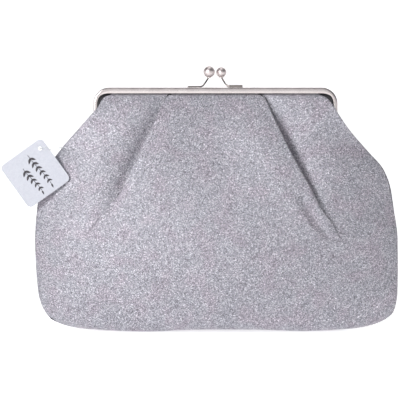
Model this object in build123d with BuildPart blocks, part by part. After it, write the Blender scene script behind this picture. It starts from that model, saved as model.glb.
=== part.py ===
"""Kiss-lock evening clutch: a padded fabric bag on a folding metal frame.

Millimetres. X runs across the bag, the front is -Y and +Z is up. The origin is the
middle of the base. Both frame halves turn about one line along X at HINGE_Z.
"""

import os

from build123d import *

FRONT, REAR = -1, 1
LEFT, RIGHT = -1, 1

# Bag body below the hinge line: height, half width and half depth of each section.
BODY_SECTIONS = [
    (0, 100, 13),
    (6, 117, 17.5),
    (16, 130.5, 22.5),
    (30, 134, 25.5),
    (55, 134.5, 27),
    (85, 132.5, 26),
    (107, 129, 23.5),
    (120, 125.5, 21.8),
]
FABRIC = 1.2  # outer fabric with its interlining
WADDING = 2.0
LINING = 0.5
LAYER_GAP = 0.3
SEAM_SLOPE = 2.7  # how much faster a layer narrows at the side seams than at the middle
LAYER_TOP = 108  # wadding and lower lining stop below the part that folds

# Fabric above the hinge line: height, half width, edge depth and middle depth.
HINGE_Z = 120
OPENING = 35  # degrees that each frame half turns
TUCK = 4  # degrees that the upper fabric reaches below the hinge line
FOLD_WIDTH, FOLD_EDGE, FOLD_DEPTH = 120, 0.3, 20
UPPER_SECTIONS = [(145, 103.4, 5.9, 13.5), (161, 90.5, 7.0, 10.5), (168, 83, 6.4, 8.3)]
GRIP_BOTTOM, GRIP_TOP = 175.6, 178.8  # the fabric's edge held in the channel
GRIP_WIDTH, GRIP_OUT, GRIP_IN = 75.4, 4.3, 3.3

# Frame: bent channel, open towards the bag.
FRAME_WIDTH = 180
FRAME_TOP = 180
FRAME_CORNER = 12
CHANNEL_HEIGHT = 4.4
CHANNEL_NEAR, CHANNEL_FAR = 0.4, 5.0
WALL = 0.6
LEG_END = 131
TAB_RADIUS = 3
TAB_THICK = 1.0
TAB_START = {FRONT: 87.0, REAR: 88.3}
BRIDGE = 3  # length of each tab inside its leg
RIVET_RADIUS, RIVET_HEAD, RIVET_PLAY = 1.2, 2.2, 0.05
RIVET_HEADS = (86.0, 86.8, 89.5, 90.3)

# Clasp: one strap, neck and ball on each frame half.
BALL_RADIUS = {FRONT: 3.75, REAR: 4.05}
BALL_AT = {FRONT: (4.5, 2.4, 191.1), REAR: (-4.7, -2.4, 191.4)}
STRAP_X = {FRONT: (9.0, 20.0), REAR: (-20.5, -10.8)}
STRAP_DEPTH, STRAP_THICK = 3.2, 1.5
NECK_TOP = 187.4
NECK_SIZE = (2.6, 1.8)
COLLAR_RADIUS = 1.7

CORD_RADIUS = 0.65
CORD_DEPTH = 2.55
LINING_PROFILE = [(1.7, 178.6), (1.7, 175.2), (3.5, 167), (6.5, 145), (8.0, 122)]

# Hang tag on a loop of clear nylon at the left shoulder.
TAG_SIDE, TAG_THICK, TAG_CORNER, TAG_HOLE = 37.5, 0.6, 3.5, 1.5
TAG_TURN = 35.5
TAG_FACE = -10
HOLE_X, HOLE_Z = -128.9, 135.1
TAG_MIDDLE = (-3.5, -18.1)  # middle of the card seen from its hole
STRING_DIAMETER = 0.6
STRING_ROUTE = [
    (-110.2, -8.2, 135.3),
    (-111.4, -12.6, 135.9),
    (-119.4, -14.4, 136.6),
    (-128.9, -13.8, 135.1),
    (-128.9, -6.4, 135.1),
    (-120.6, -5.4, 134.2),
    (-113.0, -7.6, 135.3),
]

os.makedirs("parts", exist_ok=True)


def save(builder, name):
    """Label one finished piece and write it to its own file."""
    builder.part.label = name
    export_step(builder.part, f"parts/{name}.step")


def outward_plane(side, height, tilt=0):
    """Plane through the X direction whose local y points out of the bag on one side."""
    lift = Vector(0, 0, 1).rotate(Axis.X, side * tilt)
    return Plane(origin=(0, 0, height), x_dir=(1, 0, 0), z_dir=tuple(lift * side))


def half_lens(side, height, half_width, half_depth):
    """Half of a horizontal section, from the middle plane out to one face of the bag."""
    with BuildSketch(outward_plane(side, height)) as section:
        with BuildLine():
            ThreePointArc((-half_width, 0), (0, half_depth), (half_width, 0))
            Line((half_width, 0), (-half_width, 0))
        make_face()
    return section.sketch


def wall_section(plane, half_width, edge, depth, thick, narrowing):
    """Curved strip, one fabric thickness deep, standing out from the plane's x axis."""
    inner_width, inner_edge = half_width - narrowing, max(edge - thick, FOLD_EDGE)
    with BuildSketch(plane) as section:
        with BuildLine():
            ThreePointArc((-half_width, edge), (0, depth), (half_width, edge))
            Line((half_width, edge), (inner_width, inner_edge))
            ThreePointArc(
                (inner_width, inner_edge), (0, depth - thick), (-inner_width, inner_edge)
            )
            Line((-inner_width, inner_edge), (-half_width, edge))
        make_face()
    return section.sketch


def inset_sections(side, inset):
    """Sections of the bag body moved in from its outside by one distance."""
    top = BODY_SECTIONS[-1][0]
    return [
        half_lens(
            side,
            height + inset * (1 - height / top),
            half_width - SEAM_SLOPE * inset,
            half_depth - inset,
        )
        for height, half_width, half_depth in BODY_SECTIONS
    ]


def body_layer(name, side, outside, thick, top):
    """One half of a bag-shaped layer, open at the top."""
    with BuildPart() as layer:
        loft(inset_sections(side, outside))
        loft(inset_sections(side, outside + thick), mode=Mode.SUBTRACT)
        if top < BODY_SECTIONS[-1][0]:
            split(bisect_by=Plane.XY.offset(top), keep=Keep.BOTTOM)
    save(layer, name)


def upper_panel(name, side):
    """Fabric above the hinge line: a round fold, the tapering wall and its held edge."""
    narrowing = SEAM_SLOPE * FABRIC
    fold_axis = Axis((0, 0, HINGE_Z), (side, 0, 0))
    fold = (FOLD_WIDTH, FOLD_EDGE, FOLD_DEPTH, FABRIC, narrowing)
    held = (GRIP_OUT - GRIP_IN, 0)
    with BuildPart() as panel:
        low = wall_section(outward_plane(side, HINGE_Z, -TUCK), *fold)
        revolve(low, axis=fold_axis, revolution_arc=TUCK + OPENING)
        walls = [wall_section(outward_plane(side, HINGE_Z, OPENING), *fold)]
        for height, half_width, edge, depth in UPPER_SECTIONS:
            plane = outward_plane(side, height)
            walls.append(wall_section(plane, half_width, edge, depth, FABRIC, FABRIC))
        plane = outward_plane(side, GRIP_BOTTOM)
        walls.append(wall_section(plane, GRIP_WIDTH, GRIP_OUT - 0.1, GRIP_OUT, *held))
        loft(walls)
        extrude(walls[-1], amount=side * (GRIP_TOP - GRIP_BOTTOM))
    save(panel, name)


def upper_lining(name, side):
    """Lining above the hinge line, from the channel down to the fold."""
    outside = [(side * depth, height) for depth, height in LINING_PROFILE]
    inside = [(side * (depth - LINING), height) for depth, height in LINING_PROFILE]
    with BuildPart() as lining:
        with BuildSketch(Plane.YZ):
            with BuildLine():
                Polyline(outside + inside[::-1], close=True)
            make_face()
        extrude(amount=GRIP_WIDTH - 1, both=True)
    save(lining, name)


def frame_outline(inset, foot):
    """Rounded frame outline, moved in by a distance and cut off level at the foot."""
    half_width = FRAME_WIDTH / 2 - inset
    with BuildSketch(Plane.XZ) as outline:
        with BuildLine():
            FilletPolyline(
                (-half_width, foot),
                (-half_width, FRAME_TOP - inset),
                (half_width, FRAME_TOP - inset),
                (half_width, foot),
                radius=FRAME_CORNER - inset,
            )
            Line((half_width, foot), (-half_width, foot))
        make_face()
    return outline.sketch


def frame_half(name, side):
    """Bent channel with a flat hinge tab at the end of each leg."""
    below_legs = LEG_END - 1
    reach = -side * CHANNEL_FAR
    with BuildPart() as half:
        extrude(frame_outline(0, LEG_END), amount=reach)
        extrude(frame_outline(CHANNEL_HEIGHT, below_legs), amount=reach, mode=Mode.SUBTRACT)
        extrude(frame_outline(0, below_legs), amount=-side * CHANNEL_NEAR, mode=Mode.SUBTRACT)
        hollow = frame_outline(WALL, below_legs)
        hollow = hollow.moved(Location((0, side * (CHANNEL_NEAR + WALL), 0)))
        depth = CHANNEL_FAR - CHANNEL_NEAR - 2 * WALL
        extrude(hollow, amount=-side * depth, mode=Mode.SUBTRACT)
        middle = side * (CHANNEL_NEAR + CHANNEL_FAR) / 2
        width = CHANNEL_FAR - CHANNEL_NEAR
        for end in (LEFT, RIGHT):
            start = TAB_START[side] + (TAB_THICK if end == LEFT else 0)
            with BuildSketch(Plane.YZ.offset(end * start)):
                with Locations((0, HINGE_Z)):
                    Circle(TAB_RADIUS)
                with Locations((middle, LEG_END)):
                    Rectangle(width, 0.5)
                make_hull()
                with Locations((middle, LEG_END + BRIDGE / 2)):
                    Rectangle(width, BRIDGE)
                with Locations((0, HINGE_Z)):
                    Circle(RIVET_RADIUS + RIVET_PLAY, mode=Mode.SUBTRACT)
            extrude(amount=TAB_THICK)
    save(half, name)


def hinge_rivet(name, end):
    """Rivet with a head inside and outside the two hinge tabs."""
    inner_foot, inner_face, outer_face, outer_foot = RIVET_HEADS
    with BuildPart() as rivet:
        with BuildSketch(Plane.XZ):
            with BuildLine():
                Polyline(
                    (end * inner_foot, HINGE_Z),
                    (end * inner_foot, HINGE_Z + RIVET_HEAD),
                    (end * inner_face, HINGE_Z + RIVET_HEAD),
                    (end * inner_face, HINGE_Z + RIVET_RADIUS),
                    (end * outer_face, HINGE_Z + RIVET_RADIUS),
                    (end * outer_face, HINGE_Z + RIVET_HEAD),
                    (end * outer_foot, HINGE_Z + RIVET_HEAD),
                    (end * outer_foot, HINGE_Z),
                    close=True,
                )
            make_face()
        revolve(axis=Axis((0, 0, HINGE_Z), (1, 0, 0)))
    save(rivet, name)


def clasp_arm(name, side):
    """Strap soldered on the frame, rising in a neck to the ball."""
    near, far = STRAP_X[side]
    inner_end = near if side == FRONT else far
    towards_middle = -1 if side == FRONT else 1
    middle = side * (CHANNEL_NEAR + CHANNEL_FAR) / 2
    ball_x, ball_y, _ = BALL_AT[side]
    foot_x = inner_end - towards_middle * NECK_SIZE[0] / 2
    with BuildPart() as arm:
        with BuildSketch(Plane.XY.offset(FRAME_TOP)):
            with Locations(((near + far) / 2, middle)):
                Rectangle(far - near, STRAP_DEPTH)
        extrude(amount=STRAP_THICK)
        fillet(arm.edges().filter_by(Axis.Z), radius=0.7)
        with BuildSketch(Plane.XY.offset(FRAME_TOP + STRAP_THICK / 2)) as foot:
            with Locations((foot_x, middle)):
                Rectangle(NECK_SIZE[0], NECK_SIZE[1] + 0.6)
        with BuildSketch(Plane.XY.offset(NECK_TOP)) as top:
            with Locations((ball_x, ball_y)):
                Rectangle(NECK_SIZE[1], NECK_SIZE[1])
        loft([foot.sketch, top.sketch])
    save(arm, name)


def clasp_ball(name, side):
    """Ball on a short collar."""
    radius = BALL_RADIUS[side]
    x, y, height = BALL_AT[side]
    with BuildPart() as ball:
        with BuildSketch(Plane(origin=(x, y, 0), x_dir=(1, 0, 0), z_dir=(0, -1, 0))):
            with Locations((0, height)):
                Circle(radius)
            with Locations((0, (NECK_TOP + height) / 2)):
                Rectangle(2 * COLLAR_RADIUS, height - NECK_TOP)
            with Locations((-radius, height)):
                Rectangle(2 * radius, 4 * radius, mode=Mode.SUBTRACT)
        revolve(axis=Axis((x, y, 0), (0, 0, 1)))
    save(ball, name)


def channel_cord(name, side):
    """Paper cord pressed into the channel along the top bar."""
    with BuildPart() as cord:
        with BuildSketch(Plane.YZ.offset(-GRIP_WIDTH + 1)):
            with Locations((side * CORD_DEPTH, FRAME_TOP - 2.6)):
                Circle(CORD_RADIUS)
        extrude(amount=2 * (GRIP_WIDTH - 1))
    save(cord, name)


def corner_radii(points):
    """Arc radius at each corner: 0.45 of the shorter run over the tangent of half the turn."""
    radii = []
    for before, corner, after in zip(points, points[1:], points[2:]):
        arriving, leaving = Vector(*corner) - Vector(*before), Vector(*after) - Vector(*corner)
        half_turn = Vector(1, 0).rotate(Axis.Z, arriving.get_angle(leaving) / 2)
        shorter = min(arriving.length, leaving.length)
        radii.append(0.45 * shorter * half_turn.X / half_turn.Y)
    return radii


for word, side in (("front", FRONT), ("rear", REAR)):
    wadding_inset = FABRIC + LAYER_GAP
    lining_inset = wadding_inset + WADDING + LAYER_GAP
    body_layer(f"{word}_panel", side, 0, FABRIC, HINGE_Z)
    body_layer(f"{word}_wadding", side, wadding_inset, WADDING, LAYER_TOP)
    body_layer(f"{word}_lining", side, lining_inset, LINING, LAYER_TOP)
    upper_panel(f"{word}_panel_top", side)
    upper_lining(f"{word}_lining_top", side)
    frame_half(f"{word}_frame", side)
    channel_cord(f"{word}_channel_cord", side)
    clasp_arm(f"{word}_clasp_arm", side)
    clasp_ball(f"{word}_clasp_ball", side)

hinge_rivet("left_hinge_rivet", LEFT)
hinge_rivet("right_hinge_rivet", RIGHT)

with BuildPart() as hang_tag:
    with BuildSketch(Plane(origin=(HOLE_X, TAG_FACE, HOLE_Z), x_dir=(1, 0, 0), z_dir=(0, -1, 0))):
        with Locations(TAG_MIDDLE):
            RectangleRounded(TAG_SIDE, TAG_SIDE, TAG_CORNER, rotation=TAG_TURN)
        Circle(TAG_HOLE, mode=Mode.SUBTRACT)
    extrude(amount=TAG_THICK / 2, both=True)
save(hang_tag, "hang_tag")

string_radii = corner_radii(STRING_ROUTE)
with BuildPart() as tag_string:
    with BuildLine() as string_path:
        FilletPolyline(*STRING_ROUTE, radius=string_radii)
    with BuildSketch(Plane(string_path.line @ 0, z_dir=string_path.line % 0)):
        Circle(STRING_DIAMETER / 2)
    sweep()
save(tag_string, "tag_string")
string_length = sum(edge.length for edge in string_path.edges())
string_section = tag_string.part.volume / string_length
print("string corner radii", [round(radius, 1) for radius in string_radii])
print("string length", round(string_length, 1), "mean section", round(string_section, 4))
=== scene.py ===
"""Silver glitter evening bag on a kiss-lock frame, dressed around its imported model.

Lengths in the classes are millimetres in the bag's own frame: X across, the front at -Y,
Z up from the base. Meshes are scaled to metres as they are made.
"""

import logging
import math
from dataclasses import dataclass
from enum import Enum

import bmesh
import bpy
import numpy as np
from mathutils import Matrix, Vector, noise


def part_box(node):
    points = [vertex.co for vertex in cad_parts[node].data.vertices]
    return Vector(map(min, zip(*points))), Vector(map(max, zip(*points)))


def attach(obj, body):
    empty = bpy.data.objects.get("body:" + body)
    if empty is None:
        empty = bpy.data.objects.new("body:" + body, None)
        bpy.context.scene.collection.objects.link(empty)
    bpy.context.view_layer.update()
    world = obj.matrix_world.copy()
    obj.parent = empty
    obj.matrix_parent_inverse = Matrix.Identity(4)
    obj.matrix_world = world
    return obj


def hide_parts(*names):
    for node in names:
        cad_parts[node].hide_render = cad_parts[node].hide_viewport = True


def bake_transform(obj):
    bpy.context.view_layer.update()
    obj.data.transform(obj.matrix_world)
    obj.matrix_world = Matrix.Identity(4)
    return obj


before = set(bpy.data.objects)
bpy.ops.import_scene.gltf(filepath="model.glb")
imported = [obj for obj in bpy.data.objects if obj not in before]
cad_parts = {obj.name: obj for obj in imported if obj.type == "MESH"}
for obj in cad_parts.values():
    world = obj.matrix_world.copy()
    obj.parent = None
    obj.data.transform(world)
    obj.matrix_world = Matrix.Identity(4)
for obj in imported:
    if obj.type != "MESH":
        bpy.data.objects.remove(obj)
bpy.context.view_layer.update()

Tree = bpy.types.NodeTree
Node = bpy.types.Node
Socket = bpy.types.NodeSocket
Piece = bpy.types.Object
Mesh = bmesh.types.BMesh
Points = list[tuple[float, float]]

MM = 0.001
CLOTH_MAP = "cloth"
log = logging.getLogger("evening_bag")


class Side(Enum):
    """The two faces of the bag, by the sign of Y."""

    FRONT = -1
    REAR = 1

    @property
    def word(self) -> str:
        """Name used in node names."""
        return self.name.lower()

    @property
    def body(self) -> str:
        """Moving body that this side's frame half belongs to."""
        return f"{self.word}_half"


# ---------------------------------------------------------------- small tools


def linear(colour: str) -> tuple[float, float, float, float]:
    """Turn an sRGB hex colour into linear RGBA.

    Args:
        colour: Six hex digits after a hash sign.

    Returns:
        Linear red, green, blue and an alpha of 1.
    """
    shares = [int(colour[i : i + 2], 16) / 255 for i in (1, 3, 5)]
    return (*[s / 12.92 if s <= 0.04045 else ((s + 0.055) / 1.055) ** 2.4 for s in shares], 1.0)


def add_node(tree: Tree, kind: str, inputs: dict | None = None, **settings) -> Node:
    """Add one shader node with its settings, values and links.

    Args:
        tree: Material node tree.
        kind: Blender's name of the node type.
        inputs: Socket name or number, and the value or output socket it takes.
        **settings: Attributes of the node.

    Returns:
        The new node.
    """
    node = tree.nodes.new(kind)
    for name, value in settings.items():
        setattr(node, name, value)
    fill(tree, node, inputs or {})
    return node


def fill(tree: Tree, node: Node, inputs: dict) -> None:
    """Set or link a node's inputs.

    Args:
        tree: Tree the node is in.
        node: The node.
        inputs: Socket name or number, and the value or output socket it takes.
    """
    for socket, value in inputs.items():
        if isinstance(value, Socket):
            tree.links.new(value, node.inputs[socket])
        else:
            node.inputs[socket].default_value = value


def shaded(tree: Tree, value: Socket, *stops: tuple) -> Socket:
    """Colour a value with a ramp.

    Args:
        tree: Tree to add to.
        value: What is coloured.
        *stops: Position and hex colour of each stop, in order.

    Returns:
        The colour.
    """
    node = add_node(tree, "ShaderNodeValToRGB", {"Fac": value})
    elements = node.color_ramp.elements
    while len(elements) < len(stops):
        elements.new(1.0)
    for element, (position, colour) in zip(elements, stops):
        element.position = position
        element.color = linear(colour)
    return node.outputs["Color"]


def on_piece(tree: Tree) -> Socket:
    """Coordinates fixed to the piece, in metres."""
    return add_node(tree, "ShaderNodeTexCoord").outputs["Object"]


def clouds(tree: Tree, place: Socket, size: float, detail: float = 2.0, **settings) -> Socket:
    """Add a noise pattern.

    Args:
        tree: Tree to add to.
        place: Coordinates it is read at.
        size: Size of its features in millimetres.
        detail: How many finer layers it has.
        **settings: Attributes of the node.

    Returns:
        The pattern, from 0 to 1.
    """
    inputs = {"Vector": place, "Scale": 1 / (size * MM), "Detail": detail}
    return add_node(tree, "ShaderNodeTexNoise", inputs, **settings).outputs["Fac"]


def relief(tree: Tree, height: Socket, strength: float, depth: float) -> Socket:
    """Turn a pattern into small relief.

    Args:
        tree: Tree to add to.
        height: The pattern.
        strength: Strength of the effect.
        depth: Depth in millimetres.

    Returns:
        The bumped normal.
    """
    inputs = {"Height": height, "Strength": strength, "Distance": depth * MM}
    return add_node(tree, "ShaderNodeBump", inputs).outputs["Normal"]


def between(tree: Tree, value: Socket, low: float, high: float) -> Socket:
    """Spread a value from 0 to 1 over another range.

    Args:
        tree: Tree to add to.
        value: What is spread.
        low: Result at 0.
        high: Result at 1.

    Returns:
        The result.
    """
    inputs = {"Value": value, "To Min": low, "To Max": high}
    return add_node(tree, "ShaderNodeMapRange", inputs).outputs["Result"]


def smooth_line(points: tuple[tuple[float, float], ...], at: np.ndarray) -> np.ndarray:
    """Read a smooth curve through a few points that never overshoots them.

    Args:
        points: Position and value pairs, positions rising.
        at: Positions to read.

    Returns:
        Values at those positions, held constant past both ends.
    """
    xs, ys = np.array(points, float).T
    gaps = np.diff(xs)
    slopes = np.diff(ys) / gaps
    tangents = np.concatenate([slopes[:1], np.zeros(len(xs) - 2), slopes[-1:]])
    for i in range(1, len(xs) - 1):
        before, after = slopes[i - 1], slopes[i]
        if before * after > 0:
            heavy, light = 2 * gaps[i] + gaps[i - 1], gaps[i] + 2 * gaps[i - 1]
            tangents[i] = (heavy + light) / (heavy / before + light / after)
    at = np.clip(at, xs[0], xs[-1])
    i = np.clip(np.searchsorted(xs, at, side="right") - 1, 0, len(gaps) - 1)
    t = (at - xs[i]) / gaps[i]
    start = (1 + 2 * t) * (1 - t) ** 2 * ys[i] + t * (1 - t) ** 2 * gaps[i] * tangents[i]
    end = t**2 * (3 - 2 * t) * ys[i + 1] + t**2 * (t - 1) * gaps[i] * tangents[i + 1]
    return start + end


def to_object(name: str, mesh_builder: Mesh, material: bpy.types.Material) -> Piece:
    """Turn a finished bmesh in millimetres into a scene object in metres.

    Args:
        name: Name of the piece.
        mesh_builder: Finished bmesh, freed here.
        material: Its first material.

    Returns:
        The linked object, at the origin and smooth shaded.
    """
    bmesh.ops.scale(mesh_builder, vec=(MM, MM, MM), verts=mesh_builder.verts)
    mesh = bpy.data.meshes.new(name)
    mesh_builder.to_mesh(mesh)
    mesh_builder.free()
    mesh.materials.append(material)
    mesh.polygons.foreach_set("use_smooth", [True] * len(mesh.polygons))
    piece = bpy.data.objects.new(name, mesh)
    bpy.context.scene.collection.objects.link(piece)
    return piece


def arc(centre: tuple[float, float], radius: float, start: float, sweep: float, steps: int) -> Points:
    """Points along an arc.

    Args:
        centre: Its centre.
        radius: Its radius.
        start: Direction of its first point, in degrees.
        sweep: How far it turns, in degrees.
        steps: Segments along it.

    Returns:
        The points, both ends included.
    """
    turns = [math.radians(start + sweep * step / steps) for step in range(steps + 1)]
    return [(centre[0] + radius * math.cos(t), centre[1] + radius * math.sin(t)) for t in turns]


def rounded_loop(width: float, height: float, radius: float, steps: int = 5) -> Points:
    """Outline of a rectangle with rounded corners.

    Args:
        width: Full width.
        height: Full height.
        radius: Corner radius.
        steps: Segments in each corner.

    Returns:
        Points round the outline.
    """
    points = []
    for quarter, (sx, sy) in enumerate(((1, 1), (-1, 1), (-1, -1), (1, -1))):
        centre = (sx * (width / 2 - radius), sy * (height / 2 - radius))
        points += arc(centre, radius, 90 * quarter, 90, steps)
    return points


def loft(outlines: list[Points], stations: list[Matrix]) -> Mesh:
    """Stretch a grid over closed outlines set at stations along a path and close both ends.

    Args:
        outlines: Points in each station's own x and y, as many at every station.
        stations: Placements of the outlines along the way.

    Returns:
        A closed bmesh with its faces pointing outwards.
    """
    bm = bmesh.new()
    around, along = len(outlines[0]), len(stations) - 1
    bmesh.ops.create_grid(bm, x_segments=around, y_segments=along, size=1)
    for vert in bm.verts:
        i = round((vert.co.x + 1) / 2 * around) % around
        j = round((vert.co.y + 1) / 2 * along)
        vert.co = stations[j] @ Vector((*outlines[j][i], 0))
    bmesh.ops.remove_doubles(bm, verts=bm.verts, dist=0.0001)
    bmesh.ops.holes_fill(bm, edges=[e for e in bm.edges if e.is_boundary], sides=0)
    bmesh.ops.recalc_face_normals(bm, faces=bm.faces)
    return bm


def station(place: Vector, across: Vector, upward: Vector) -> Matrix:
    """Placement whose x and y axes are two given directions.

    Args:
        place: Origin of the placement.
        across: Direction of the outline's x axis.
        upward: Direction of the outline's y axis.

    Returns:
        The placement as a matrix.
    """
    along = across.cross(upward).normalized()
    matrix = Matrix((across, upward, along)).transposed().to_4x4()
    matrix.translation = place
    return matrix


# ---------------------------------------------------------------- finishes


@dataclass(frozen=True)
class Finish:
    """Base of the finishes: a named material with one principled shader."""

    name: str

    def material(self) -> bpy.types.Material:
        """Return the material, making it the first time it is asked for.

        Returns:
            The material.
        """
        found = bpy.data.materials.get(self.name)
        if found:
            return found
        made = bpy.data.materials.new(self.name)
        made.use_nodes = True
        tree = made.node_tree
        self.dress(tree, tree.nodes["Principled BSDF"])
        return made

    def dress(self, tree: Tree, shader: Node) -> None:
        """Set the shader up. Each finish has its own.

        Args:
            tree: Material node tree.
            shader: Its principled shader.
        """
        raise NotImplementedError


@dataclass(frozen=True)
class GlitterCloth(Finish):
    """Woven cloth with metallised film flakes, silver with a breath of lilac.

    Each flake catches the light on its own, so the cloth reads as salt and pepper; that glint is
    painted into the base colour as specks from dark to near white, over the flakes' own tone. Real
    flakes are 0.2 to 0.4 mm; they are drawn 0.56 mm wide so that they show.
    """

    flake: float = 0.56
    fine_flake: float = 0.36
    patch: float = 16.0

    def dress(self, tree: Tree, shader: Node) -> None:
        """Mix two sizes of flake into colour, roughness and bump.

        Args:
            tree: Material node tree.
            shader: Its principled shader.
        """
        place = add_node(tree, "ShaderNodeUVMap", uv_map=CLOTH_MAP).outputs["UV"]
        sizes = (self.flake, self.fine_flake)
        cells = [{"Vector": place, "Scale": 1 / (size * MM)} for size in sizes]
        flakes = [add_node(tree, "ShaderNodeTexVoronoi", cell, voronoi_dimensions="2D") for cell in cells]
        parts = [add_node(tree, "ShaderNodeSeparateColor", {0: f.outputs["Color"]}) for f in flakes]
        blend = {"Factor": 0.5, "A": parts[0].outputs[0], "B": parts[1].outputs[0]}
        mixed = add_node(tree, "ShaderNodeMix", blend, data_type="FLOAT").outputs["Result"]
        # Painted glint: the flake ramp runs from dark specks to near-white ones, standing in for flakes
        # tilted away from or towards the light, over the flakes' own tone.
        darks = ((0.08, "#504e56"), (0.30, "#838189"), (0.52, "#9a98a1"))
        shade = shaded(tree, mixed, *darks, (0.72, "#b0aeb7"), (0.92, "#f0eef5"))
        patches = clouds(tree, place, self.patch, noise_dimensions="2D")
        tint = shaded(tree, patches, (0.34, "#f9fbfb"), (0.50, "#ffffff"), (0.66, "#fdf8fa"))
        # Sockets 6 and 7 are the mix node's colours, and its output 2 is the mixed colour.
        tinted = {0: 1.0, 6: shade, 7: tint}
        colour = add_node(tree, "ShaderNodeMix", tinted, data_type="RGBA", blend_type="MULTIPLY")
        levels = {0: parts[0].outputs[2], 1: flakes[0].outputs["Distance"]}
        height = add_node(tree, "ShaderNodeMath", levels, operation="SUBTRACT").outputs[0]
        inputs = {
            "Base Color": colour.outputs[2],
            "Roughness": between(tree, parts[1].outputs[1], 0.44, 0.66),
            "Normal": relief(tree, height, 0.45, 0.12),
            "Metallic": 0.28,
            "Sheen Weight": 0.15,
            "Sheen Roughness": 0.5,
        }
        fill(tree, shader, inputs)


@dataclass(frozen=True)
class WovenSatin(Finish):
    """Charcoal lining satin: smooth warp floats that shine along the weave. Its near-black colour is partly
    the satin's own dark tone and partly painted shade, so the gaps at the frame corners read black.
    """

    thread: float = 0.6

    def dress(self, tree: Tree, shader: Node) -> None:
        """Draw the warp as fine bands. Real threads are 0.1 mm; these are coarse enough to show.

        Args:
            tree: Material node tree.
            shader: Its principled shader.
        """
        scale = 0.5 / (self.thread * MM) / math.pi
        bands = {"Vector": on_piece(tree), "Scale": scale, "Distortion": 1.5, "Detail": 2.0}
        warp = add_node(tree, "ShaderNodeTexWave", bands, bands_direction="X").outputs["Fac"]
        inputs = {
            # Partly painted shade: the ramp goes darker than the satin's own charcoal so the lining seen
            # through the corner gaps reads as shade.
            "Base Color": shaded(tree, warp, (0.2, "#1f1e22"), (0.8, "#2e2c32")),
            "Normal": relief(tree, warp, 0.25, 0.05),
            "Roughness": 0.42,
            "Sheen Weight": 0.3,
        }
        fill(tree, shader, inputs)


@dataclass(frozen=True)
class NeedleFelt(Finish):
    """Needled polyester wadding: off white, matte and fluffy."""

    fibre: float = 1.2

    def dress(self, tree: Tree, shader: Node) -> None:
        """Cloud the colour and the surface at the size of a tuft.

        Args:
            tree: Material node tree.
            shader: Its principled shader.
        """
        tufts = clouds(tree, on_piece(tree), self.fibre, 4.0)
        inputs = {
            "Base Color": shaded(tree, tufts, (0.3, "#d9d8d2"), (0.7, "#f3f2ee")),
            "Normal": relief(tree, tufts, 0.6, 0.4),
            "Roughness": 0.95,
        }
        fill(tree, shader, inputs)


@dataclass(frozen=True)
class PlatedMetal(Finish):
    """Steel, polished and plated: a mirror with faint polishing lines and handling haze."""

    colour: str = "#cac2c1"
    pale: str = "#d4cdcc"
    roughness: float = 0.2
    haze: float = 9.0
    polish: float = 2.2

    def dress(self, tree: Tree, shader: Node) -> None:
        """Vary the roughness in soft patches and add a very shallow polishing wave.

        Args:
            tree: Material node tree.
            shader: Its principled shader.
        """
        place = on_piece(tree)
        smears = clouds(tree, place, self.haze, 5.0)
        inputs = {
            "Base Color": shaded(tree, smears, (0.25, self.colour), (0.75, self.pale)),
            "Roughness": between(tree, smears, self.roughness * 0.7, self.roughness * 1.4),
            "Normal": relief(tree, clouds(tree, place, self.polish), 0.06, 0.05),
            "Metallic": 1.0,
        }
        fill(tree, shader, inputs)


@dataclass(frozen=True)
class PrintedMatter(Finish):
    """Paper goods: pulp fibre shows as a faint mottle and a dry, even surface."""

    pale: str = "#fdfdfd"
    dark: str = "#f0f0f4"
    grain: float = 0.9
    roughness: float = 0.62

    def dress(self, tree: Tree, shader: Node) -> None:
        """Mottle the colour at the size of the pulp.

        Args:
            tree: Material node tree.
            shader: Its principled shader.
        """
        scale = 1 / (self.grain * MM)
        mottle = {"Vector": on_piece(tree), "Scale": scale, "Detail": 5.0, "Roughness": 0.6}
        pulp = add_node(tree, "ShaderNodeTexNoise", mottle).outputs["Fac"]
        inputs = {
            "Base Color": shaded(tree, pulp, (0.35, self.dark), (0.65, self.pale)),
            "Normal": relief(tree, pulp, 0.15, 0.03),
            "Roughness": self.roughness,
        }
        fill(tree, shader, inputs)


@dataclass(frozen=True)
class ClearNylon(Finish):
    """Drawn nylon monofilament: clear, so only its rims and a thin glint show."""

    cloud: float = 3.0

    def dress(self, tree: Tree, shader: Node) -> None:
        """Nylon's refractive index is 1.53; drawing leaves it slightly cloudy along its length.

        Args:
            tree: Material node tree.
            shader: Its principled shader.
        """
        inputs = {
            "Roughness": between(tree, clouds(tree, on_piece(tree), self.cloud), 0.12, 0.3),
            "Base Color": linear("#eef1f2"),
            "IOR": 1.53,
            "Transmission Weight": 0.75,
        }
        fill(tree, shader, inputs)


@dataclass(frozen=True)
class StudioPaper(Finish):
    """Seamless white background paper."""

    glow: float = 0.56

    def dress(self, tree: Tree, shader: Node) -> None:
        """Plain matte white, lit through from behind so that it stays shadowless.

        Args:
            tree: Material node tree.
            shader: Its principled shader.
        """
        inputs = {
            "Emission Color": linear("#ffffff"),
            "Emission Strength": self.glow,
            "Base Color": linear("#fbfbfb"),
            "Roughness": 0.9,
            "Specular IOR Level": 0.1,
        }
        fill(tree, shader, inputs)


CLOTH = GlitterCloth("glitter_cloth_woven")
SATIN = WovenSatin("lining_satin_woven")
FELT = NeedleFelt("polyester_wadding_needled")
NICKEL = PlatedMetal("nickel_plate_polished")
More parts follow.
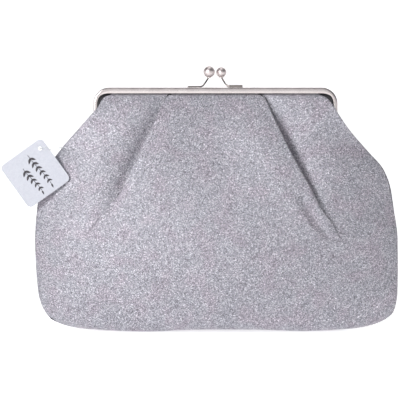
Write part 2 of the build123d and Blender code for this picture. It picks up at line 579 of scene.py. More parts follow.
# Painted shade: the clasp is the frame's nickel in a darker copy, so the thin arms read dark as metal in
# shade does.
SHADED_CLASP_NICKEL = PlatedMetal("clasp_nickel_painted_shade", colour="#77716f", pale="#8b8583", roughness=0.42)
BALL_NICKEL = PlatedMetal("ball_nickel_tumbled", colour="#d6cbca", pale="#ded5d4", roughness=0.4)
STEEL = PlatedMetal("rivet_steel_plated", colour="#b9b7b6", pale="#c8c6c5", roughness=0.3)
CARD = PrintedMatter("tag_card_coated", pale="#c4c6ce", dark="#babcc6")
INK = PrintedMatter("motif_ink_printed", pale="#4b474c", dark="#3a373c", roughness=0.5)
KRAFT = PrintedMatter("kraft_cord_twisted", pale="#c3a679", dark="#a1835a", roughness=0.85)
NYLON = ClearNylon("nylon_monofilament_drawn")
PAPER = StudioPaper("studio_paper")


# ---------------------------------------------------------------- camera and studio


@dataclass
class Studio:
    """Camera, soft lights and a seamless white sweep of paper."""

    aim: Vector = Vector((-11.4, -8, 97.2)) * MM
    distance: float = 1.5
    elevation: float = 2.2
    view_width: float = 294.4 * MM
    sensor: float = 36.0

    def camera(self) -> Piece:
        """Place a long lens straight in front of the bag, slightly above level.

        Returns:
            The camera.
        """
        tilt = math.radians(self.elevation)
        back = Vector((0, -math.cos(tilt), math.sin(tilt)))
        data = bpy.data.cameras.new("camera")
        data.sensor_width = self.sensor
        data.lens = self.sensor * self.distance / self.view_width
        data.clip_end = 50
        made = bpy.data.objects.new("camera", data)
        made.location = self.aim + back * self.distance
        made.rotation_euler = (-back).to_track_quat("-Z", "Y").to_euler()
        bpy.context.scene.collection.objects.link(made)
        bpy.context.scene.camera = made
        return made

    def light(self, name: str, place: tuple, size: float, power: float) -> None:
        """Add one square softbox aimed at the bag.

        Args:
            name: Name of the light.
            place: Position in metres.
            size: Side of the softbox in metres.
            power: Power in watts.
        """
        data = bpy.data.lights.new(name, "AREA")
        data.shape = "SQUARE"
        data.size = size
        data.energy = power
        made = bpy.data.objects.new(name, data)
        made.location = place
        towards = Vector((0, 0, 0.1)) - made.location
        made.rotation_euler = towards.to_track_quat("-Z", "Y").to_euler()
        bpy.context.scene.collection.objects.link(made)

    def backdrop(self) -> Piece:
        """Build the paper sweep: floor, a round bend behind the bag and a wall.

        Returns:
            The sweep.
        """
        floor_end, bend, wall, half = 1600.0, 900.0, 3200.0, 3500.0
        bm = bmesh.new()
        edge = bmesh.ops.create_grid(bm, x_segments=1, y_segments=1, size=half)
        for vert in edge["verts"]:
            vert.co.y = -2600 if vert.co.y < 0 else floor_end
        back = [e for e in bm.edges if all(v.co.y > 0 for v in e.verts)]
        spun = bmesh.ops.spin(
            bm, geom=back, cent=(0, floor_end, bend), axis=(1, 0, 0), angle=math.radians(90), steps=24
        )
        top = [e for e in spun["geom_last"] if isinstance(e, bmesh.types.BMEdge)]
        raised = bmesh.ops.extrude_edge_only(bm, edges=top)["geom"]
        verts = [v for v in raised if isinstance(v, bmesh.types.BMVert)]
        bmesh.ops.translate(bm, verts=verts, vec=(0, 0, wall))
        bmesh.ops.recalc_face_normals(bm, faces=bm.faces)
        made = to_object("backdrop", bm, PAPER.material())
        return made

    def build(self) -> None:
        """Set up the camera, the world, the lights and the backdrop."""
        self.camera()
        scene = bpy.context.scene
        scene.view_settings.view_transform = "Standard"
        world = bpy.data.worlds.new("studio_air")
        scene.world = world
        world.use_nodes = True
        tree = world.node_tree
        heading = add_node(tree, "ShaderNodeTexCoord").outputs["Generated"]
        height = add_node(tree, "ShaderNodeSeparateXYZ", {0: heading}).outputs["Z"]
        air = shaded(tree, height, (0.0, "#f4f4f6"), (0.10, "#dcdcde"), (0.30, "#58585b"))
        fill(tree, tree.nodes["Background"], {"Color": air})
        self.light("key_softbox", (-1.0, -1.75, 0.65), 0.7, 30)
        self.light("top_softbox", (0.0, -0.1, 1.8), 0.9, 6)
        self.backdrop()


# ---------------------------------------------------------------- hang tag


@dataclass
class HangTag:
    """White card on a loop of clear nylon, with two printed leaf sprigs."""

    string_diameter: float = 0.6
    string_length: float = 42.0
    route: tuple = (
        (-110.2, -8.2, 135.3),
        (-111.4, -12.6, 135.9),
        (-119.4, -14.4, 136.6),
        (-128.9, -13.8, 135.1),
        (-128.9, -6.4, 135.1),
        (-120.6, -5.4, 134.2),
        (-113.0, -7.6, 135.3),
    )
    print_height: float = 0.03
    turn: float = -54.5
    hole: tuple = (-128.9, 135.1)  # x, height
    middle: tuple = (-3.5, -18.1)  # middle of the card seen from its hole
    sway: float = 1.1
    sway_pace: float = 1.9
    lines: tuple = ((-0.6, 4.2, 27.0, 6), (2.6, -4.4, 21.0, 5))  # along, across, length, leaf pairs

    def string(self) -> Piece:
        """Returns:
            The loop.
        """
        data = bpy.data.curves.new("nylon_tag_loop", "CURVE")
        data.dimensions = "3D"
        data.bevel_depth = self.string_diameter / 2 * MM
        data.bevel_resolution = 4
        data.resolution_u = 10
        data.use_fill_caps = True
        spline = data.splines.new("NURBS")
        spline.points.add(len(self.route) - 1)
        for point, place in zip(spline.points, self.route):
            point.co = (*(Vector(place) * MM), 1)
        spline.order_u = 3
        spline.use_endpoint_u = True
        made = bpy.data.objects.new("nylon_tag_loop", data)
        data.materials.append(NYLON.material())
        bpy.context.scene.collection.objects.link(made)
        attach(made, "tag_loop")
        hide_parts("tag_string")
        return made

    def leaf(self, bm: Mesh, place: Matrix, length: float, width: float) -> None:
        """Add one pointed leaf, flat in the card's own plane.

        Args:
            bm: Mesh the leaf is added to.
            place: Placement of the leaf's stalk.
            length: Length of the leaf.
            width: Width of the leaf.
        """
        made = bmesh.ops.create_circle(bm, cap_ends=True, segments=20, radius=1)["verts"]
        for vert in made:
            along = (vert.co.x + 1) / 2
            belly = math.sin(math.pi * along**0.8)
            across = math.copysign(1, vert.co.y) if abs(vert.co.y) > 1e-4 else 0
            vert.co = Vector((along * length, across * belly * width / 2, 0))
        bmesh.ops.transform(bm, matrix=place, verts=made)

    def sprig(self, bm: Mesh, along: float, across: float, length: float, pairs: int) -> None:
        """Add one leaf sprig: a waved stalk with pairs of leaves and one at its tip.

        Args:
            bm: Mesh the sprig is added to.
            along: Place of its middle along the print.
            across: Place of its middle across the print.
            length: Length of the stalk.
            pairs: Number of leaf pairs.
        """
        half = length / 2
        stalk = bmesh.ops.create_grid(bm, x_segments=24, y_segments=1, size=1)["verts"]
        for vert in stalk:
            wave = self.sway * math.sin(vert.co.x * self.sway_pace)
            vert.co = Vector((along + vert.co.x * half, across + vert.co.y * 0.2 + wave, 0))
        for pair in range(pairs):
            share = -0.78 + 1.5 * pair / (pairs - 1)
            wave = self.sway * math.sin(share * self.sway_pace)
            place = Matrix.Translation((along + half * share, across + wave, 0))
            size = 4.6 - 1.4 * pair / (pairs - 1)
            for way in (-1, 1):
                self.leaf(bm, place @ Matrix.Rotation(math.radians(way * 44), 4, "Z"), size, size * 0.4)
        wave = self.sway * math.sin(self.sway_pace)
        tip = Matrix.Translation((along + half, across + wave, 0))
        self.leaf(bm, tip @ Matrix.Rotation(math.radians(-8), 4, "Z"), 3.6, 1.2)

    def motif(self) -> Piece:
        """Print two generic leaf sprigs on the card.

        Returns:
            The print.
        """
        bm = bmesh.new()
        for line in self.lines:
            self.sprig(bm, *line)
        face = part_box("hang_tag")[0].y / MM - self.print_height
        turn = Matrix.Rotation(math.radians(self.turn), 4, "Z")
        stand = Matrix.Rotation(math.radians(90), 4, "X")
        across, height = (self.hole[i] + self.middle[i] for i in (0, 1))
        place = Matrix.Translation((across, face, height))
        bmesh.ops.transform(bm, matrix=place @ stand @ turn, verts=bm.verts)
        bmesh.ops.recalc_face_normals(bm, faces=bm.faces)
        for piece_face in bm.faces:
            if piece_face.normal.y > 0:
                piece_face.normal_flip()
        made = to_object("tag_leaf_print", bm, INK.material())
        skin = made.modifiers.new("ink", "SOLIDIFY")
        skin.thickness = self.print_height * MM
        skin.offset = -1
        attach(made, "tag_card")
        return made

    def build(self) -> None:
        """Make the string and the print and dress the card."""
        self.string()
        self.motif()
        dress_node("hang_tag", CARD)


def dress_node(node: str, finish: Finish) -> None:
    """Give a carried-over CAD node its finish.

    Args:
        node: Name of the node.
        finish: The finish it gets.
    """
    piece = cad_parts[node]
    piece.data.materials.clear()
    piece.data.materials.append(finish.material())


# ---------------------------------------------------------------- metal frame


@dataclass
class PurseFrame:
    """One half of the frame: a bent nickel channel with a hinge tab on each leg."""

    side: Side
    half_width: float = 90.0
    top: float = 180.0
    corner: float = 12.0
    height: float = 4.4
    leg_height: float = 3.0
    leg_rounding: float = 1.25
    near: float = 0.4
    far: float = 5.0
    wall: float = 0.6
    rounding: float = 0.9
    lip: float = 0.28
    leg_end: float = 131.0
    hinge: float = 120.0
    tab_radius: float = 3.0
    tab_thick: float = 1.0
    rivet: float = 1.25
    bend_steps: int = 18
    rim_start: float = 200.0
    rim_sweep: float = 217.6

    def outline(self, leg: float) -> Points:
        """Section of the channel: distance in from its outside, and depth from the middle plane.

        Args:
            leg: 0 on the top bar, 1 on a leg, which is narrower and rounder.

        Returns:
            Points round the section.
        """
        low, high, lip = self.near, self.far, self.lip
        rounding = self.rounding + leg * (self.leg_rounding - self.rounding)
        lip_in = self.height + leg * (self.leg_height - self.height) - lip
        inner = max(rounding - self.wall, 0.1)
        return [
            *arc((rounding, high - rounding), rounding, 90, 90, 6),
            *arc((rounding, low + rounding), rounding, 180, 90, 6),
            *arc((lip_in, low + lip), lip, -90, 180, 6),
            *arc((rounding, low + rounding), inner, 270, -90, 3),
            *arc((rounding, high - rounding), inner, 180, -90, 3),
            *arc((lip_in, high - lip), lip, -90, 180, 6),
        ]

    def sections(self) -> tuple[list[Points], list[Matrix]]:
        """Outlines and their placements from the left leg's foot round to the right leg's foot.

        Returns:
            The outlines and the placements.
        """
        deep = Vector((0, self.side.value, 0))
        reach = self.half_width - self.corner
        shoulder = self.top - self.corner
        placed = [(Vector((-self.half_width, 0, self.leg_end)), 0.0)]
        for sign, first in ((-1, 0), (1, 90)):
            for step in range(self.bend_steps + 1):
                turn = math.radians(first + 90 * step / self.bend_steps)
                outwards = Vector((-math.cos(turn), 0, math.sin(turn)))
                place = Vector((sign * reach, 0, shoulder)) + outwards * self.corner
                placed.append((place, turn))
        placed.append((Vector((self.half_width, 0, self.leg_end)), math.pi))
        outlines, stations = [], []
        for place, turn in placed:
            inwards = Vector((math.cos(turn), 0, -math.sin(turn)))
            stations.append(station(place, inwards, deep))
            leg = math.cos(turn) ** 2
            outlines.append(self.outline(min(1.0, 1.6 * leg)))
        return outlines, stations

    def tab(self, bm: Mesh, start: float) -> None:
        """Add one flat hinge tab, pierced for the rivet.

        Args:
            bm: Mesh the tab is added to.
            start: X of its lower face.
        """
        middle = self.side.value * (self.near + self.far) / 2
        half = (self.far - self.near) / 2
        pivot = (0, self.hinge)
        rim = arc(pivot, self.tab_radius, self.rim_start, self.rim_sweep, 27)
        shoulder = [(middle + half, self.leg_end), (middle + half, self.leg_end + 3)]
        shoulder += [(middle - half, self.leg_end + 3), (middle - half, self.leg_end)]
        outer = [bm.verts.new((start, y, z)) for y, z in rim + shoulder]
        edges = [bm.edges.new((a, b)) for a, b in zip(outer, outer[1:] + outer[:1])]
        hole = [bm.verts.new((start, y, z)) for y, z in arc(pivot, self.rivet, 0, 360, 20)[:-1]]
        edges += [bm.edges.new((a, b)) for a, b in zip(hole, hole[1:] + hole[:1])]
        made = bmesh.ops.triangle_fill(bm, use_beauty=True, use_dissolve=False, edges=edges)["geom"]
        faces = [item for item in made if isinstance(item, bmesh.types.BMFace)]
        raised = bmesh.ops.extrude_face_region(bm, geom=faces, use_keep_orig=True)["geom"]
        verts = [v for v in raised if isinstance(v, bmesh.types.BMVert)]
        bmesh.ops.translate(bm, verts=verts, vec=(self.tab_thick, 0, 0))

    def rail(self) -> Piece:
        """Build the bent channel with its hinge tabs.

        Returns:
            The channel.
        """
        bm = loft(*self.sections())
        start = 87.0 if self.side is Side.FRONT else 88.3
        for low in (start, -start - self.tab_thick):
            self.tab(bm, low)
        bmesh.ops.remove_doubles(bm, verts=bm.verts, dist=0.001)
        bmesh.ops.recalc_face_normals(bm, faces=bm.faces)
        made = to_object(f"{self.side.word}_frame_channel", bm, NICKEL.material())
        sharpen(made)
        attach(made, self.side.body)
        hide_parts(f"{self.side.word}_frame")
        return made

    def build(self) -> None:
        """Make the rail and dress the cord inside it."""
        self.rail()
        dress_node(f"{self.side.word}_channel_cord", KRAFT)


def sharpen(piece: Piece, degrees: float = 35) -> None:
    """Keep a smooth shaded piece's sharp edges crisp.

    Args:
        piece: Mesh object.
        degrees: Edges that turn more than this stay sharp.
    """
    piece.data.set_sharp_from_angle(angle=math.radians(degrees))


@dataclass
class ClaspArm:
    """Flat strap on the frame's top bar that bends up into a thin neck and carries a ball."""

    side: Side
    strap_end: float
    bend_start: float
    ball: tuple
    radius: float
    strap_depth: float = 3.0
    neck_depth: float = 1.7
    thick: float = 1.25
    neck_thick: float = 1.15
    top: float = 180.0

    def path(self) -> list[Vector]:
        """Middle line of the strip: along the strap, round the bend and up the neck.

        Returns:
            Points along the middle line.
        """
        middle = self.side.value * 2.7
        low = self.top + self.thick / 2
        foot = Vector((self.bend_start, middle, low))
        end = Vector((self.ball[0], self.ball[1], self.ball[2] - self.radius + 0.5))
        lean = Vector((end.x - foot.x, 0, end.z - foot.z)).normalized()
        along = Vector((math.copysign(1, self.bend_start - self.strap_end), 0, 0))
        corner = foot + along * 1.5
        after = corner + lean * 2.0
        points = [Vector((self.strap_end, middle, low)), foot - along * 0.4]
        for step in range(9):
            t = step / 8
            points.append(foot * (1 - t) ** 2 + corner * 2 * t * (1 - t) + after * t**2)
        for step in range(1, 8):
            t = step / 7
            place = after.lerp(end, t)
            place.y = middle + (end.y - middle) * t**2 * (3 - 2 * t)
            points.append(place)
        return points

    def strip(self) -> Piece:
        """Sweep the flat section along the path, narrowing into the neck.

        Returns:
            The strip.
        """
        points = self.path()
        stations = []
        for i, place in enumerate(points):
            along = (points[min(i + 1, len(points) - 1)] - points[max(i - 1, 0)]).normalized()
            deep = Vector((0, 1, 0))
            upward = along.cross(deep).normalized()
            share = min(max((i - 2) / 8, 0), 1)
            width = self.strap_depth + (self.neck_depth - self.strap_depth) * share
            height = self.thick + (self.neck_thick - self.thick) * share
            matrix = station(place, deep, upward)
            stations.append(matrix @ Matrix.Diagonal((width, height, 1, 1)))
        bm = loft([rounded_loop(1, 1, 0.22)] * len(stations), stations)
        made = to_object(f"{self.side.word}_clasp_strip", bm, SHADED_CLASP_NICKEL.material())
        sharpen(made, 50)
        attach(made, self.side.body)
        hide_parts(f"{self.side.word}_clasp_arm")
        return made

    def knob(self) -> Piece:
        """Ball with a stepped collar, turned as one outline.

        Returns:
            The ball.
        """
        x, y, height = self.ball
        bm = bmesh.new()
        foot = -self.radius - 0.15
        outline = [(0, foot), (1.35, foot), (1.6, foot + 0.2), (1.6, foot + 0.55), (1.3, foot + 0.75)]
        low = math.degrees(math.asin(1.3 / self.radius))
        outline += arc((0, 0), self.radius, low - 90, 180 - low, 30)
        verts = [bm.verts.new((radius, 0, z)) for radius, z in outline]
        edges = [bm.edges.new(pair) for pair in zip(verts, verts[1:])]
        bmesh.ops.spin(
            bm, geom=verts + edges, cent=(0, 0, 0), axis=(0, 0, 1), angle=math.tau, steps=48, use_merge=True
        )
        bmesh.ops.remove_doubles(bm, verts=bm.verts, dist=0.001)
        bmesh.ops.recalc_face_normals(bm, faces=bm.faces)
        bmesh.ops.translate(bm, verts=bm.verts, vec=(x, y, height))
        made = to_object(f"{self.side.word}_clasp_knob", bm, BALL_NICKEL.material())
        sharpen(made, 40)
        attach(made, self.side.body)
        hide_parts(f"{self.side.word}_clasp_ball")
        return made

    def build(self) -> None:
        """Make the strip and its ball."""
        self.strip()
        self.knob()


# ---------------------------------------------------------------- soft bag


@dataclass(frozen=True)
class Fold:
    """One long slanting pleat: the middle of the panel lies over its side part."""

    sign: int
    line: tuple  # height, distance from the middle
    step: tuple  # height, how far the upper layer stands over the lower one
    lap: tuple  # height, share of the full overlap
    run: tuple = (
        *((-1, -4.5), (-0.34, 1.4), (-0.2, 1.9), (-0.06, 1.4)),
        *((0.3, -2.8), (0.42, -3.3), (0.54, -2.9), (1, 4.5)),
    )
    rise: tuple = (
        *((-1, 1), (-0.42, 1), (-0.2, 0.92), (-0.06, 0.8)),
        *((0.3, 0.2), (0.42, -0.08), (0.54, -0.14), (1, 0)),
    )
    over_share: float = 0.34
    over_reach: float = 30.0
    under_reach: float = 12.0


@dataclass(frozen=True)
class Crease:
    """A shallow valley pressed into the cloth along a few points."""

    points: tuple  # x, height
    depth: float
    width: float

    def offset(self, x: np.ndarray, z: np.ndarray) -> np.ndarray:
        """How far the cloth sinks at each place, fading out at both ends.

        Args:
            x: Distances across.
            z: Heights.

        Returns:
            The sinking in millimetres.
        """
        line = np.array(self.points, float)
        lengths = np.hypot(*np.diff(line, axis=0).T)
        starts = np.concatenate([[0], np.cumsum(lengths)])
        best = np.full(x.shape, 1e9)
        along = np.zeros(x.shape)
        for (ax, az), (bx, bz), length, start in zip(line, line[1:], lengths, starts):
            t = np.clip(((x - ax) * (bx - ax) + (z - az) * (bz - az)) / length**2, 0, 1)
            away = np.hypot(x - ax - t * (bx - ax), z - az - t * (bz - az))
            nearer = away < best
            best = np.where(nearer, away, best)
            along = np.where(nearer, start + t * length, along)
        fade = np.sin(np.pi * np.clip(along / starts[-1], 0, 1)) ** 0.6
        ridge = 0.35 * np.exp(-(((best - 2.2 * self.width) / self.width) ** 2))
        return self.depth * fade * (np.exp(-((best / self.width) ** 2)) - ridge)


# How a pleat flattens on its way into the frame: height, step.
TOP_STEPS = ((170, 4.0), (173, 3.2), (174.6, 2.0), (176, 0.8), (178, 0.6))


@dataclass
class BagShell:
    """Shape of the soft bag: rows across it from the base seam up to the frame.

    Each row gives its share of the way up, the height at its ends, its reach to the left
    and right, the height and depth at its middle and the depth at its ends.
    """

    rows: tuple = (
        (0.000, 8.6, 122.0, 126.4, 0.2, 0.0, 0.0),
        (0.065, 13.0, 125.6, 131.4, 0.2, 13.0, 0.0),
        (0.100, 18.0, 128.4, 133.4, 3.6, 19.0, 0.0),
        (0.150, 26.5, 131.0, 134.8, 12.5, 23.5, 0.0),
        (0.240, 42.0, 132.6, 135.2, 30.0, 26.4, 0.0),
        (0.380, 67.0, 133.6, 135.0, 58.0, 27.2, 0.0),
        (0.530, 92.0, 131.8, 131.8, 88.0, 25.6, 0.0),
        (0.620, 107.5, 128.9, 129.2, 105.5, 23.0, 0.0),
        (0.690, 120.0, 124.2, 124.0, 119.5, 20.0, 0.2),
        (0.760, 133.0, 115.3, 112.6, 133.0, 16.4, 0.9),
        (0.850, 148.5, 101.8, 99.0, 149.0, 12.4, 3.9),
        (0.920, 161.0, 90.6, 90.2, 161.5, 8.9, 7.0),
        (0.945, 165.8, 86.4, 87.4, 166.5, 7.3, 6.6),
        (0.971, 172.9, 81.8, 81.0, 173.1, 4.8, 4.5),
        (0.979, 174.5, 78.0, 77.2, 174.6, 4.0, 3.9),
        (0.984, 175.2, 76.4, 75.8, 175.2, 2.1, 2.1),
        (1.000, 178.5, 75.2, 75.0, 178.5, 1.8, 1.8),
    )
    across_steps: int = 135
    up_steps: int = 88
    middle_zone: float = 0.40
    fold_zone: float = 0.62
    waviness: float = 0.55
    base_lift: float = 2.8
    left_fold: Fold = Fold(
        -1,
        line=(
            *((0, 78), (30, 95), (68, 95), (74, 91), (93.8, 77.6), (101.2, 69.2)),
            *((110.8, 64.4), (131.4, 54.6), (149.4, 45.6), (174.8, 34.4)),
        ),
        step=(
            *((66, 0), (76, 0.8), (84, 2.0), (92, 3.6), (101, 5.8), (113, 8.6), (130, 10.6)),
            *((147, 9.2), (162, 5.8), *TOP_STEPS),
        ),
        lap=((74, 0), (88, 0.3), (98, 0.75), (106, 1.0), (173, 1.0), (174.6, 0.7), (176, 0)),
    )
    right_fold: Fold = Fold(
        1,
        line=(
            *((0, 78), (30, 95), (66, 92), (72.5, 88.7), (79.1, 85.7), (90.2, 76.4)),
            *((107.8, 66.8), (128.4, 55.4), (154.9, 42.3), (174.8, 33.4)),
        ),
        step=(
            *((64, 0), (74, 1.0), (84, 2.6), (96, 5.4), (110, 9.6), (130, 13.0)),
            *((147, 11.0), (162, 6.4), (170, 4.2), *TOP_STEPS[1:]),
        ),
        lap=((68, 0), (78, 0.35), (88, 0.8), (98, 1.0), (173, 1.0), (174.6, 0.7), (176, 0)),
    )
    creases: tuple = (
        Crease(((61, 102), (66, 93), (72, 83.5), (78, 76), (86, 67)), 1.5, 2.8),
        Crease(((-66, 99), (-76, 90), (-86, 80)), 1.0, 2.8),
        Crease(((-88, 124), (-98, 113), (-108, 104), (-119, 96)), 1.0, 7.0),
        Crease(((-100, 22), (-113, 15), (-126, 17)), 0.8, 5.0),
        Crease(((96, 16), (112, 14), (128, 24)), 0.9, 5.0),
    )

    def row(self, column: int, up: np.ndarray) -> np.ndarray:
        """Read one value of the rows at any share of the way up."""
        return smooth_line(tuple((r[0], r[column]) for r in self.rows), up)

    def surface(
        self, side: Side, inset: tuple = ((0, 0),), folded: bool = True, width_cap: tuple = ()
    ) -> Mesh:
        """Build one open sheet over a side of the bag.

        Args:
            side: Front or rear.
            inset: Share of the way up, and how far the sheet lies inside the outer cloth.
            folded: Whether the sheet has the pleats and creases.
            width_cap: Share of the way up and widest half width, where the sheet is narrower.

        Returns:
            The sheet in millimetres with a cloth map, facing outwards.
        """
        finer = 2 if folded else 1
        nx, ny = self.across_steps * finer, self.up_steps * finer
        bm = bmesh.new()
        bmesh.ops.create_grid(bm, x_segments=nx, y_segments=ny, size=1)
        bm.verts.ensure_lookup_table()
        flat = np.array([v.co for v in bm.verts])
        columns = np.rint((flat[:, 0] + 1) / 2 * nx).astype(int)
        ranks = np.rint((flat[:, 1] + 1) / 2 * ny).astype(int)
        across = flat[:, 0]
        up = np.array([self.spread(r / ny) for r in range(ny + 1)])[ranks]
        x, y, z = self.place(across, up, inset, folded, width_cap)
        for vert, px, py, pz in zip(bm.verts, x, y, z):
            vert.co = (px, side.value * py, max(pz, 0.05))
        self.map_cloth(bm, columns, ranks, np.stack([x, y, z], 1))
        bm.normal_update()
        facing = sum(f.normal.y for f in bm.faces) * side.value
        if facing < 0:
            bmesh.ops.reverse_faces(bm, faces=bm.faces)
        return bm

    def spread(self, share: float) -> float:
        """Pack rows closer at the base and the frame, where the cloth turns most."""
        return share - 0.035 * math.sin(math.tau * share)

    def map_cloth(self, bm: Mesh, columns: np.ndarray, ranks: np.ndarray, places: np.ndarray) -> None:
        """Lay a cloth map in metres by length along each row and up the middle.

        Args:
            bm: The sheet.
            columns: Column number of each vertex.
            ranks: Row number of each vertex.
            places: Where each vertex lies.
        """
        nx, ny = int(columns.max()), int(ranks.max())
        grid = np.zeros((ny + 1, nx + 1, 3))
        grid[ranks, columns] = places
        lengths = np.linalg.norm(np.diff(grid, axis=1), axis=2)
        across = np.concatenate([np.zeros((ny + 1, 1)), np.cumsum(lengths, 1)], 1)
        across -= across[:, nx // 2][:, None]
        climb = np.linalg.norm(np.diff(grid[:, nx // 2], axis=0), axis=1)
        upward = np.concatenate([[0], np.cumsum(climb)])
        layer = bm.loops.layers.uv.new(CLOTH_MAP)
        for face in bm.faces:
            for loop in face.loops:
                i = loop.vert.index
                u = across[ranks[i], columns[i]] * MM
                loop[layer].uv = (u, upward[ranks[i]] * MM)

    def place(
        self, across: np.ndarray, up: np.ndarray, inset: tuple, folded: bool, width_cap: tuple
    ) -> tuple[np.ndarray, np.ndarray, np.ndarray]:
        """Work out where each grid point of a sheet lies.

        Args:
            across: -1 at the left edge to 1 at the right edge.
            up: Share of the way up.
            inset: As for surface.
            folded: As for surface.
            width_cap: As for surface.

        Returns:
            Arrays of x, depth towards the sheet's own side, and height.
        """
        seam, left, right = self.row(1, up), self.row(2, up), self.row(3, up)
        middle, depth, edge = self.row(4, up), self.row(5, up), self.row(6, up)
        inside = smooth_line(inset, up) if len(inset) > 1 else np.full(up.shape, float(inset[0][1]))
        reach = np.where(across < 0, left, right)
        narrow = reach - 1.3 * inside
        if width_cap:
            cap = smooth_line(width_cap, up)
            narrow = np.where(up > 0.9, cap, np.minimum(narrow, cap))
        height_here = middle + (seam - middle) * 0.3
        x, lift = self.spread_across(across, height_here, narrow, up, folded)
        u = np.clip(np.abs(x) / reach, 0, 1)
        power = 2.2 + 6.5 * np.clip(1 - up / 0.16, 0, 1) ** 1.5
        z = middle + (seam - middle) * u**power
        z = z + inside * np.clip(1 - up / 0.12, 0, 1)
        z = z + self.base_lift * np.exp(-(((x - 8) / 46) ** 4)) * np.clip(1 - up / 0.2, 0, 1)
        full = (1 - u**2.3) ** smooth_line(((0.42, 0.76), (0.60, 0.86), (0.84, 0.86)), up)
        y = edge + (depth - edge) * full - inside * np.clip(0.5 + 1.6 * full, 0, 1)
        y = np.maximum(y, 0)
        if not folded:
            y = y - lift * np.clip(y / 5, 0, 1)
        if folded:
            for crease in self.creases:
                y = y - crease.offset(x, z) * np.clip(y / 6, 0, 1)
            y = y + lift * np.clip(y / 5, 0, 1)
            free = np.clip((up - 0.02) / 0.06, 0, 1) * np.clip((0.965 - up) / 0.06, 0, 1)
            waves = np.array([self.wave(px, pz) for px, pz in zip(x, z)])
            y = y + waves * free * np.clip(y / 6, 0, 1)
        return x, y, z

    def wave(self, x: float, z: float) -> float:
        """Slow unevenness of cloth over padding, in millimetres.

        Args:
            x: Distance across.
            z: Height.

        Returns:
            The unevenness.
        """
        slow = noise.noise(Vector((x / 38, z / 30, 3.1)))
        quick = noise.noise(Vector((x / 15 + z / 40, z / 19, 8.7)))
        return self.waviness * (1.3 * slow + 0.45 * quick)

    def spread_across(
        self, across: np.ndarray, height: np.ndarray, reach: np.ndarray, up: np.ndarray, folded: bool
    ) -> tuple[np.ndarray, np.ndarray]:
        """Spread the columns over a row and fold them over at the pleats.

        Args:
            across: -1 at the left edge to 1 at the right edge.
            height: Height of each point's row.
            reach: Half width of the row on the point's side.
            up: Share of the way up.
            folded: Whether the pleats are made.

        Returns:
            Arrays of x and of how far each point is lifted by a pleat.
        """
        x, lift = np.zeros(across.shape), np.zeros(across.shape)
        share = np.abs(across)
        inner, outer = self.middle_zone, self.fold_zone
        for fold in (self.left_fold, self.right_fold):
            mine = across * fold.sign > 0
            line = np.minimum(smooth_line(fold.line, height), reach - 12)
            half = 4.5 + 9 * np.clip((0.42 - up) / 0.25, 0, 1)
            local = np.clip(2 * (share - inner) / (outer - inner) - 1, -1, 1)
            centre = (line - half) * share / inner
            zone = line + half * local
            far = (line + half) + (reach - line - half) * (share - outer) / (1 - outer)
            flat = np.where(share < inner, centre, np.where(share > outer, far, zone))
            away = fold.sign * np.where(mine, fold.sign * flat, across * 60)
            step = smooth_line(fold.step, height)
            if not folded:
                lift += 0.75 * step * np.exp(-(((away - line) / 26) ** 2))
                x = np.where(mine, fold.sign * flat, x)
                continue
            lap = smooth_line(fold.lap, height)
            turned = line + smooth_line(fold.run, local)
            within = (share >= inner) & (share <= outer)
            flat = np.where(within, zone + lap * (turned - zone), flat)
            over = fold.over_share * np.exp(-((np.maximum(line - half - away, 0) / fold.over_reach) ** 2))
            under = (fold.over_share - 1) * np.exp(-np.maximum(away - line - half, 0) / fold.under_reach)
            rise = fold.over_share - 1 + smooth_line(fold.rise, local)
            profile = np.where(share < inner, over, np.where(share > outer, under, rise))
            lift += step * np.where(mine, profile, over)
            x = np.where(mine, fold.sign * flat, x)
        return x, lift


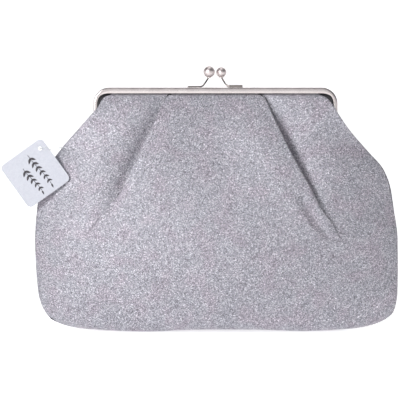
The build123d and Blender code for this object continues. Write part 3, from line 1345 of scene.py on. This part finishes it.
@dataclass
class SoftBag:
    """The outer cloth, wadding and lining of one side."""

    side: Side
    shell: BagShell
    cloth_thick: float = 0.9
    wadding_thick: float = 1.4
    lining_thick: float = 0.35
    bend_low: float = 100.0
    bend_high: float = 133.0

    def bend(self, piece: Piece) -> None:
        """Bake a sheet's placement into its mesh.

        Args:
            piece: The sheet.
        """
        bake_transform(piece)

    def thicken(self, piece: Piece, thick: float, backing: Finish | None = None) -> None:
        """Give a sheet its thickness, inwards, with a backing if it has one.

        Args:
            piece: The sheet.
            thick: Thickness in millimetres.
            backing: Finish of its inner side.
        """
        skin = piece.modifiers.new("thickness", "SOLIDIFY")
        skin.thickness = thick * MM
        skin.offset = -1
        if backing:
            piece.data.materials.append(backing.material())
            skin.material_offset = 1

    def cloth(self) -> Piece:
        """Make the outer panel with its two pleats.

        Returns:
            The panel.
        """
        bm = self.shell.surface(self.side)
        made = to_object(f"{self.side.word}_outer_cloth", bm, CLOTH.material())
        self.thicken(made, self.cloth_thick, SATIN)
        self.bend(made)
        word = self.side.word
        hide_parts(f"{word}_panel", f"{word}_panel_top")
        return made

    def wadding(self) -> Piece:
        """Make the padding between cloth and lining, below the hinge line.

        Returns:
            The padding.
        """
        bm = self.shell.surface(self.side, inset=((0, 2.0),), folded=False)
        above = [v for v in bm.verts if v.co.z > 106]
        bmesh.ops.delete(bm, geom=above, context="VERTS")
        made = to_object(f"{self.side.word}_padding", bm, FELT.material())
        self.thicken(made, self.wadding_thick)
        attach(made, "bag_body")
        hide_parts(f"{self.side.word}_wadding")
        return made

    def lining(self) -> Piece:
        """Make the lining, which stays between the legs above the hinge line.

        Returns:
            The lining.
        """
        inset = (
            *((0, 3.7), (0.6, 4.2), (0.7, 5.0), (0.78, 6.0), (0.86, 6.0)),
            *((0.93, 5.0), (0.965, 3.4), (0.985, 1.4), (1.0, 1.2)),
        )
        cap = (
            *((0, 200), (0.70, 118), (0.73, 100), (0.76, 84.6), (0.90, 84.8)),
            *((0.94, 88.0), (0.973, 87.0), (0.985, 85.0), (1.0, 80.0)),
        )
        bm = self.shell.surface(self.side, inset=inset, folded=False, width_cap=cap)
        made = to_object(f"{self.side.word}_lining_satin", bm, SATIN.material())
        self.thicken(made, self.lining_thick)
        self.bend(made)
        word = self.side.word
        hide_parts(f"{word}_lining", f"{word}_lining_top")
        return made

    def build(self) -> None:
        """Make the three layers."""
        self.cloth()
        self.wadding()
        self.lining()


# ---------------------------------------------------------------- the whole bag


def main() -> None:
    """Build the studio and the bag, piece by piece."""
    logging.basicConfig(level=logging.INFO, format="%(message)s")
    Studio().build()
    log.info("studio ready")
    HangTag().build()
    log.info("hang tag ready")
    arms = {
        Side.FRONT: ClaspArm(Side.FRONT, 20.0, 10.2, (4.3, 2.4, 191.2), 3.9, thick=1.9),
        Side.REAR: ClaspArm(Side.REAR, -20.5, -11.4, (-4.7, -2.4, 191.5), 4.25),
    }
    shell = BagShell()
    for side in Side:
        PurseFrame(side).build()
        arms[side].build()
        SoftBag(side, shell).build()
        log.info("%s side ready", side.word)
    for end in ("left", "right"):
        dress_node(f"{end}_hinge_rivet", STEEL)
    log.info("size written")


if __name__ == "__main__":
    main()
